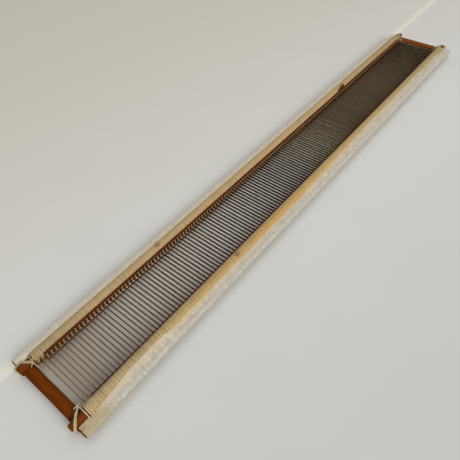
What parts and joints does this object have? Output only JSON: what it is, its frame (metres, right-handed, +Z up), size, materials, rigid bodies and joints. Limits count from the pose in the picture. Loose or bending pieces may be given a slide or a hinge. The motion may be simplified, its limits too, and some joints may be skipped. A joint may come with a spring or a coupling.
{
  "type": "weaving reed",
  "caption": "Long bound weaving reed: flat metal dents held on edge between two cord-wound wooden baulks with lashed end posts and paper-taped long edges.",
  "frame": {"origin": "centre of the overall box on the table plane that the reed lies on", "axes": "+X along the reed from its near end to its far end, +Y across it towards its left baulk, +Z up from the table"},
  "size_m": [0.8572, 0.1166, 0.0235],
  "materials": {
    "lacquered_wood": "dark brown lacquer over straight-grained wood, worn at the edges",
    "lath_wood": "brown split lath, satin",
    "dent_steel": "darkened flat steel strip",
    "winding_cord": "waxed tan cord, wound turn to turn",
    "lashing_cord": "pale twisted cord",
    "edge_paper": "off-white paper tape, matte, stained in places"
  },
  "bodies": {
    "root": {"dents_01": "dent_steel", "dents_02": "dent_steel", "dents_03": "dent_steel", "dents_04": "dent_steel", "dents_05": "dent_steel", "dents_06": "dent_steel", "dents_07": "dent_steel", "dents_08": "dent_steel", "dents_09": "dent_steel", "dents_10": "dent_steel", "dents_11": "dent_steel", "dents_12": "dent_steel", "dents_13": "dent_steel", "dents_14": "dent_steel", "dents_15": "dent_steel", "dents_16": "dent_steel", "dents_17": "dent_steel", "dents_18": "dent_steel", "dents_19": "dent_steel", "dents_20": "dent_steel", "dents_21": "dent_steel", "dents_22": "dent_steel", "dents_23": "dent_steel", "dents_24": "dent_steel", "dents_25": "dent_steel", "dents_26": "dent_steel", "dents_27": "dent_steel", "dents_28": "dent_steel", "dents_29": "dent_steel", "dents_30": "dent_steel", "dents_31": "dent_steel", "dents_32": "dent_steel", "dents_33": "dent_steel", "far_end_post": "lacquered_wood", "far_left_end_wrap": "winding_cord", "far_left_lashing": "lashing_cord", "far_right_end_wrap": "winding_cord", "far_right_lashing": "lashing_cord", "left_edge_tape": "edge_paper", "left_lower_lath": "lath_wood", "left_lower_rod": "lacquered_wood", "left_lower_winding": "winding_cord", "left_splice_knot": "lashing_cord", "left_upper_long_lath": "lath_wood", "left_upper_rod": "lacquered_wood", "left_upper_short_lath": "lath_wood", "left_upper_winding": "winding_cord", "near_end_post": "lacquered_wood", "near_left_end_wrap": "winding_cord", "near_left_lashing": "lashing_cord", "near_right_end_wrap": "winding_cord", "near_right_lashing": "lashing_cord", "right_edge_tape": "edge_paper", "right_lower_lath": "lath_wood", "right_lower_rod": "lacquered_wood", "right_lower_winding": "winding_cord", "right_splice_knot": "lashing_cord", "right_upper_lath": "lath_wood", "right_upper_rod": "lacquered_wood", "right_upper_winding": "winding_cord"}
  },
  "joints": []
}
